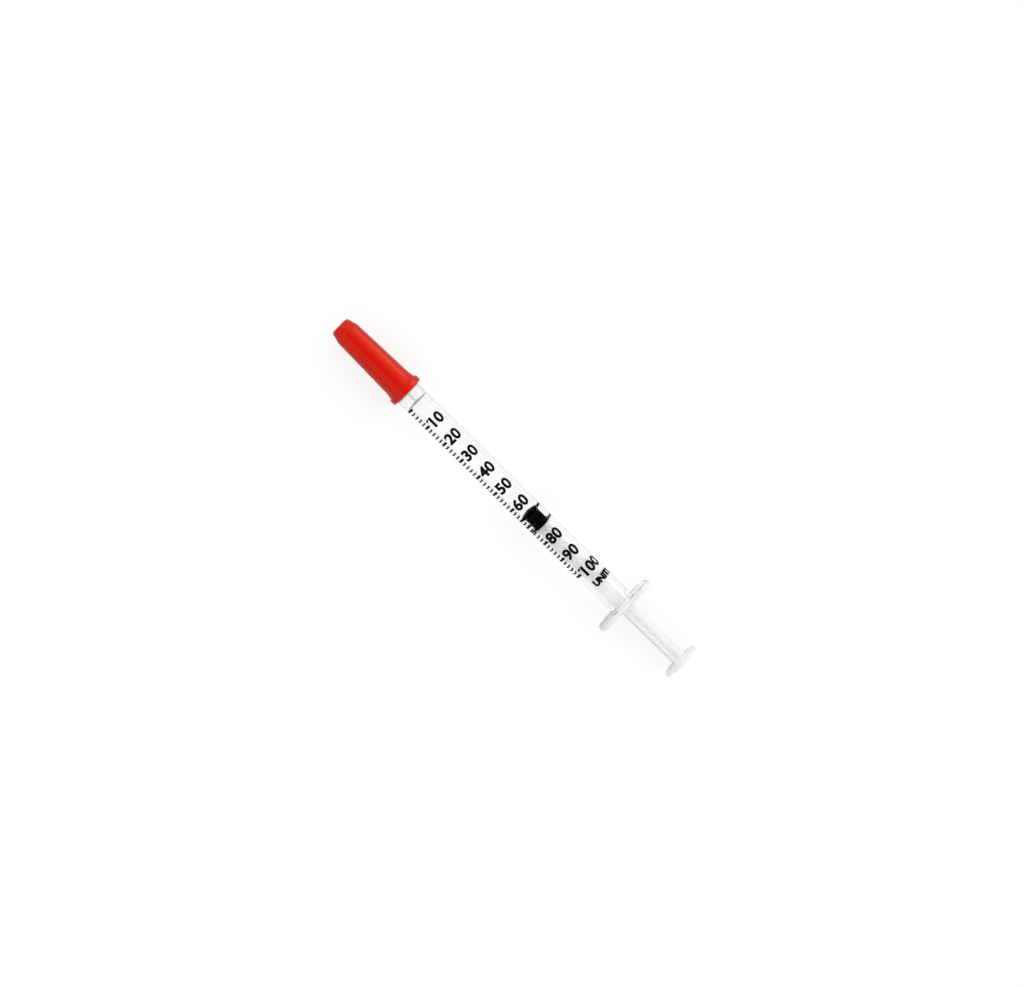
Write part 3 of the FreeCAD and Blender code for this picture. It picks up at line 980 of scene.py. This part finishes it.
@dataclass
class Stopper:
    """Black rubber stopper, with its ribs pressed against the bore."""

    axis: Axis
    bench: Workbench
    bore: float = 2.35 * MM
    squeeze: float = 0.012 * MM
    nose: float = 0.4 * MM
    edge_round: float = 0.1 * MM
    waist: float = 2.03 * MM
    waist_round: float = 0.15 * MM
    flank: float = 0.3 * MM
    front_rib: float = 0.85 * MM
    rear_rib: float = 0.6 * MM
    rib_round: float = 0.1 * MM
    pocket: float = 1.4 * MM
    pocket_round: float = 0.4 * MM
    throat: float = 0.85 * MM
    throat_round: float = 0.08 * MM
    pocket_back: float = 1.1 * MM
    pocket_front: float = 2.4 * MM

    def build(self) -> bpy.types.Object:
        """Model and dress the stopper.

        Returns:
            bpy.types.Object: the stopper.
        """
        front, back = self.axis.stopper_front, self.axis.stopper_back
        rib = self.bore + self.squeeze
        edge = front + self.nose
        rear = back - self.flank / 2 - self.rear_rib
        stopper = self.bench.turn("stopper_rubber", [
            (front, 0),
            (edge, self.waist, self.edge_round),
            (edge + self.flank / 2, rib, self.rib_round),
            (edge + self.front_rib, rib, self.rib_round),
            (edge + self.front_rib + self.flank, self.waist, self.waist_round),
            (rear - self.flank, self.waist, self.waist_round),
            (rear, rib, self.rib_round),
            (rear + self.rear_rib, rib, self.rib_round),
            (back, rib - self.flank, self.edge_round),
            (back, self.throat, self.throat_round),
            (back - self.pocket_back, self.throat),
            (back - self.pocket_back, self.pocket),
            (back - self.pocket_front, self.pocket, self.pocket_round),
            (back - self.pocket_front, 0),
        ])
        self.bench.smooth(stopper)
        dress(stopper, RUBBER)
        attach(stopper, "stopper")
        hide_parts("stopper")
        return stopper


@dataclass
class PlungerRod:
    """Milky plunger rod: snap head, guide disc, cross-shaped shaft and thumb press."""

    axis: Axis
    bench: Workbench
    head: float = 1.35 * MM
    head_length: float = 1.2 * MM
    head_round: float = 0.45 * MM
    head_back_round: float = 0.08 * MM
    neck: float = 0.8 * MM
    neck_length: float = 1.2 * MM
    neck_round: float = 0.1 * MM
    guide: float = 2.22 * MM
    guide_thick: float = 0.9 * MM
    span: float = 4.28 * MM
    rib: float = 1.1 * MM
    root_round: float = 0.3 * MM
    root_steps: int = 5
    edge_round: float = 0.12 * MM
    edge_steps: int = 3
    joint_overlap: float = 0.1 * MM
    turned: float = math.radians(45)
    press: float = 5.145 * MM
    press_thick: float = 1.0 * MM
    press_rim: float = 0.62 * MM
    press_round: float = 0.28 * MM
    boss: float = 2.5 * MM
    boss_height: float = 0.35 * MM
    boss_round: float = 0.6 * MM

    def shaft(self, start: float, end: float) -> bpy.types.Object:
        """Model the cross-shaped shaft.

        Args:
            start: x of its front end.
            end: x of its rear end.

        Returns:
            bpy.types.Object: the shaft.
        """
        core = self.bench.block("shaft", ((start + end) / 2, 0, self.axis.height),
                                (end - start, self.rib, self.rib))
        reach = (self.span - self.rib) / 2
        for y, z in ((1, 0), (-1, 0), (0, 1), (0, -1)):
            side = Vector((0, y, z))
            self.bench.pick_faces(core, lambda face: self.on_side(face, side))
            bpy.ops.mesh.extrude_region_move(TRANSFORM_OT_translate={"value": side * reach})
            bpy.ops.object.mode_set(mode="OBJECT")
        away = self.axis.away
        self.bench.bevel_where(core, lambda a, b: lengthwise(a, b) and away(a) < self.rib,
                               self.root_round, self.root_steps)
        self.bench.bevel_where(core, lambda a, b: lengthwise(a, b) and away(a) > self.span / 2,
                               self.edge_round, self.edge_steps)
        self.bench.roll(core, self.turned)
        return core

    def on_side(self, face: bpy.types.MeshPolygon, side: Vector) -> bool:
        """Whether a face of the shaft's core is the one that a rib grows out of.

        Args:
            face: the face.
            side: the rib's direction.

        Returns:
            bool: True where the face looks that way and lies straight out from the axis.
        """
        spoke = Vector((0, face.center.y, face.center.z - self.axis.height))
        beside = (spoke - spoke.dot(side) * side).length
        return face.normal.dot(side) > SQUARE_ON and beside < self.rib / 4

    def rib_edge(self, point: Vector) -> bool:
        """Whether a point of the surface is on the thin edge of one of the shaft's ribs, where
        shade is painted.

        Args:
            point: the point.

        Returns:
            bool: True on a rib's edge.
        """
        start = self.axis.rod_front + self.head_length + self.neck_length + self.guide_thick
        end = self.axis.press_face - self.press_thick - self.boss_height
        outer = self.axis.away(point) > self.span / 2 - self.edge_round
        return start < point.x < end and outer

    def build(self) -> bpy.types.Object:
        """Model and dress the rod.

        Returns:
            bpy.types.Object: the rod.
        """
        front, face = self.axis.rod_front, self.axis.press_face
        guide_front = front + self.head_length + self.neck_length
        guide_back = guide_front + self.guide_thick
        press_front = face - self.press_thick
        rod = self.shaft(guide_back - self.joint_overlap, press_front + self.joint_overlap)
        snap = self.bench.turn("snap_head", [
            (front, 0),
            (front, self.head, self.head_round),
            (front + self.head_length, self.head, self.head_back_round),
            (front + self.head_length, self.neck, self.neck_round),
            (guide_front, self.neck, self.neck_round),
            (guide_front, self.guide, self.edge_round),
            (guide_back, self.guide, self.edge_round),
            (guide_back, 0),
        ])
        press = self.bench.turn("press", [
            (press_front - self.boss_height, 0),
            (press_front - self.boss_height, self.rib / 2),
            (press_front, self.boss, self.boss_round),
            (face - self.press_rim, self.press, self.press_round / 2),
            (face, self.press, self.press_round),
            (face, 0),
        ])
        self.bench.combine(rod, snap, Role.JOIN)
        self.bench.combine(rod, press, Role.JOIN)
        self.bench.smooth(rod)
        self.bench.named("plunger_rod_milky")
        dress(rod, MILKY)
        # Painted shade: the ribs' thin edges get the darker copy of the milky finish.
        dress(rod, MILKY_PAINTED_SHADE, self.rib_edge)
        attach(rod, "plunger_rod")
        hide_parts("plunger_rod")
        return rod


@dataclass
class NeedleShield:
    """Orange-red shield: knob, long taper, flare and collar over a hollow inside."""

    axis: Axis
    bench: Workbench
    wall: float = 0.92 * MM
    end_wall: float = 1.2 * MM
    knob_tip: float = 2.575 * MM
    knob_base: float = 2.9 * MM
    knob_length: float = 1.7 * MM
    knob_round: float = 0.95 * MM
    knob_back_round: float = 0.4 * MM
    neck_length: float = 0.9 * MM
    taper_front: float = 3.25 * MM
    taper_front_round: float = 0.6 * MM
    taper_rear: float = 3.725 * MM
    taper_rear_round: float = 3.0 * MM
    flare: float = 4.025 * MM
    flare_length: float = 1.6 * MM
    flare_round: float = 0.12 * MM
    collar: float = 4.45 * MM
    collar_length: float = 1.6 * MM
    collar_round: float = 0.3 * MM
    socket: float = 2.925 * MM
    socket_depth: float = 2.45 * MM
    lead: float = 0.25 * MM
    lead_round: float = 0.1 * MM
    end_round: float = 0.4 * MM

    def build(self) -> bpy.types.Object:
        """Model and dress the shield.

        Returns:
            bpy.types.Object: the shield.
        """
        tip, mouth = self.axis.shield_tip, self.axis.shield_mouth
        taper = tip + self.knob_length + self.neck_length
        collar = mouth - self.collar_length
        flare = collar - self.flare_length
        socket = mouth - self.socket_depth
        shield = self.bench.turn("shield_orange_red", [
            (tip, 0),
            (tip, self.knob_tip, self.knob_round),
            (tip + self.knob_length, self.knob_base, self.knob_back_round),
            (taper, self.taper_front, self.taper_front_round),
            (flare, self.taper_rear, self.taper_rear_round),
            (collar, self.flare, self.flare_round),
            (collar, self.collar, self.collar_round),
            (mouth, self.collar, self.collar_round),
            (mouth, self.socket + self.lead, self.lead_round),
            (mouth - self.lead, self.socket),
            (socket + self.lead, self.socket),
            (socket, self.taper_rear - self.wall),
            (taper, self.taper_front - self.wall),
            (tip + self.knob_length, self.knob_base - self.wall),
            (tip + self.end_wall, self.knob_tip - self.wall, self.end_round),
            (tip + self.end_wall, 0),
        ])
        self.bench.smooth(shield)
        dress(shield, SHIELD)
        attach(shield, "needle_shield")
        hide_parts("needle_shield")
        return shield


# The studio


@dataclass
class Studio:
    """Camera, floor, lamps and the pale surroundings."""

    axis: Axis
    aim: Point = (-0.3 * MM, 0.26 * MM)
    distance: float = 700 * MM
    tilt: float = math.radians(6)
    roll: float = math.radians(44.45)
    pixels_per_mm: float = 4.10
    image_width: int = 1024
    sensor: float = 36.0
    floor_size: float = 3.0
    floor_shade: float = 0.36
    floor_glow: float = 0.685
    key_power: float = 0.7
    key_size: float = 0.16
    key_stretch: float = 1.5
    key_place: Triple = (0, 0.6, 0.13)
    sky: float = 1.18
    sky_lean: float = 0.2
    ceiling: float = 0.12
    ceiling_from: float = 0.8
    ceiling_full: float = 0.97
    clip_start: float = 0.01
    clip_end: float = 20

    def camera(self) -> None:
        """Set the camera above the syringe, leaning towards the shield."""
        lens_pixels = self.pixels_per_mm * self.distance / MM
        back = Vector((-math.sin(self.tilt), 0, math.cos(self.tilt)))
        along = Vector((math.cos(self.tilt), 0, math.sin(self.tilt)))
        across = Vector((0, 1, 0))
        right = along * math.cos(self.roll) + across * math.sin(self.roll)
        up = across * math.cos(self.roll) - along * math.sin(self.roll)
        aim = Vector((*self.aim, self.axis.height))
        turn = Matrix((right, up, back)).transposed().to_4x4()
        data = bpy.data.cameras.new("camera")
        data.sensor_width = self.sensor
        data.lens = lens_pixels * self.sensor / self.image_width
        data.clip_start = self.clip_start
        data.clip_end = self.clip_end
        camera = bpy.data.objects.new("camera", data)
        camera.matrix_world = Matrix.Translation(aim + back * self.distance) @ turn
        bpy.context.scene.collection.objects.link(camera)
        bpy.context.scene.camera = camera

    def seen(self, bench: NodeBench) -> Signal:
        """Signal that is 1 for rays that show the surroundings themselves.

        Args:
            bench: the node tree's bench.

        Returns:
            Signal: 1 for camera, glossy and transmitted rays, 0 for light on a surface.
        """
        path = bench.node("ShaderNodeLightPath")
        kinds = ("Is Camera Ray", "Is Glossy Ray", "Is Transmission Ray")
        camera, glossy, through = (Signal(bench, path.outputs[kind]) for kind in kinds)
        return camera.or_greater(glossy).or_greater(through)

    def floor(self) -> None:
        """Lay the white floor, which glows only to the eye and keeps the shadow."""
        bpy.ops.object.select_all(action="DESELECT")
        bpy.ops.mesh.primitive_plane_add(size=self.floor_size)
        floor = bpy.context.object
        floor.name = "floor"
        material = bpy.data.materials.new("floor_white")
        material.use_nodes = True
        material.node_tree.nodes.clear()
        bench = NodeBench(material.node_tree)
        shade = (self.floor_shade,) * 3
        matt = bench.node("ShaderNodeBsdfDiffuse", None, {"Color": (*shade, 1)})
        strength = self.seen(bench) * self.floor_glow
        glow = bench.node("ShaderNodeEmission", None,
                          {"Color": (1, 1, 1, 1), "Strength": strength})
        both = bench.node("ShaderNodeAddShader", None, {0: matt.outputs[0], 1: glow.outputs[0]})
        bench.node("ShaderNodeOutputMaterial", None, {"Surface": both.outputs[0]})
        floor.data.materials.append(material)

    def lamps(self) -> None:
        """Hang the broad key lamp on the +Y side."""
        data = bpy.data.lights.new("key_lamp", "AREA")
        data.shape = "RECTANGLE"
        data.size = self.key_size * self.key_stretch
        data.size_y = self.key_size
        data.energy = self.key_power
        lamp = bpy.data.objects.new("key_lamp", data)
        place = Vector(self.key_place)
        lamp.location = place
        lamp.rotation_mode = "QUATERNION"
        lamp.rotation_quaternion = (-place).to_track_quat("-Z", "Y")
        bpy.context.scene.collection.objects.link(lamp)

    def world(self) -> None:
        """Surround the floor with soft white walls under a dark ceiling."""
        world = bpy.data.worlds.new("studio")
        world.use_nodes = True
        world.node_tree.nodes.clear()
        bench = NodeBench(world.node_tree)
        where = bench.node("ShaderNodeTexCoord")
        parts = bench.node("ShaderNodeSeparateXYZ", None, {0: where.outputs["Generated"]})
        dark = (self.ceiling,) * 3
        stops = [(self.ceiling_from, (1, 1, 1)), (self.ceiling_full, dark)]
        soft = bench.node("ShaderNodeValToRGB", {"stops": stops}, {"Fac": parts.outputs["Z"]})
        path = bench.node("ShaderNodeLightPath")
        side = Signal(bench, parts.outputs["Y"]) * self.sky_lean + self.sky
        lit = bench.node("ShaderNodeBackground", None,
                         {"Color": soft.outputs[0], "Strength": side})
        shown = bench.node("ShaderNodeBackground", None, {"Color": (1, 1, 1, 1)})
        mix = bench.node("ShaderNodeMixShader", None,
                         {0: path.outputs["Is Camera Ray"], 1: lit.outputs[0],
                          2: shown.outputs[0]})
        bench.node("ShaderNodeOutputWorld", None, {"Surface": mix.outputs[0]})
        bpy.context.scene.world = world

    def build(self) -> None:
        """Set up everything round the syringe."""
        self.camera()
        self.floor()
        self.lamps()
        self.world()
        # Light that has passed clear plastic stays sharp, so what is inside isn't darkened
        bpy.context.scene.cycles.blur_glossy = 0
        bpy.context.scene.view_settings.view_transform = "Standard"


def main() -> None:
    """Build the syringe's pieces and the studio round them."""
    logging.basicConfig(level=logging.INFO, format="%(message)s")
    axis = Axis.of_frame()
    bench = Workbench(axis)
    for maker in (Barrel, PrintedScale, Stopper, PlungerRod, NeedleShield):
        piece = maker(axis, bench).build()
        LOG.info("%s: %d faces", piece.name, len(piece.data.polygons))
    dress(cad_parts["needle"], STEEL)
    dress(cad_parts["needle_bond"], ADHESIVE)
    Studio(axis).build()


if __name__ == "__main__":
    main()
